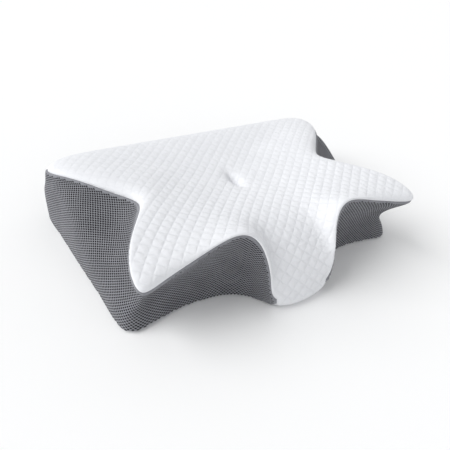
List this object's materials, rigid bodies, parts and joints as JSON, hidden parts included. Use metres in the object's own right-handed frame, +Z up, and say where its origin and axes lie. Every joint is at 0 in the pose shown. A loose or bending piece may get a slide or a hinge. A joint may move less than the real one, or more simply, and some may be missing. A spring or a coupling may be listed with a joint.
{
  "type": "contoured cervical pillow",
  "caption": "Butterfly-shaped contoured foam pillow with a head cradle, neck roll and arm-rest wings in a zipped cover with a quilted knit top and mesh sides.",
  "frame": {"origin": "middle of the footprint on the surface the pillow rests on", "axes": "+X along the straight back edge, +Y from the neck lobe to the back edge, +Z up"},
  "size_m": [0.5608, 0.3808, 0.1302],
  "materials": {
    "memory_foam": "matte open-cell polyurethane foam",
    "liner_jersey": "thin jersey",
    "quilted_knit": "white double-knit quilted in small diamonds",
    "spacer_mesh": "grey spacer mesh with small round holes",
    "zip_tape": "woven tape",
    "zip_nylon": "satin nylon coil",
    "zip_metal": "satin die-cast",
    "label_satin": "satin ribbon"
  },
  "bodies": {
    "pillow": {"foam_core": "memory_foam", "liner_top": "liner_jersey", "liner_base": "liner_jersey", "cover_top_panel": "quilted_knit", "cover_side_panel_left": "spacer_mesh", "cover_side_panel_right": "spacer_mesh", "cover_back_panel": "spacer_mesh", "cover_bottom_panel": "spacer_mesh", "zip_tape_upper": "zip_tape", "zip_tape_lower": "zip_tape", "zip_coil_upper": "zip_nylon", "zip_coil_lower": "zip_nylon", "zip_top_stop": "zip_metal", "zip_bottom_stop": "zip_metal", "care_label": "label_satin"},
    "slider": {"zip_slider": "zip_metal"},
    "pull_tab": {"zip_pull_tab": "zip_metal"}
  },
  "joints": [
    {"name": "zip_slide", "type": "slide", "parent": "pillow", "child": "slider", "axis": [-1, 0, 0], "range_m": [0, 0.314]},
    {"name": "pull_tab_hinge", "type": "hinge", "parent": "slider", "child": "pull_tab", "pos_m": [0.1586, 0.1887, 0.03], "axis": [0, 0, -1], "range_deg": [0, 165]}
  ]
}
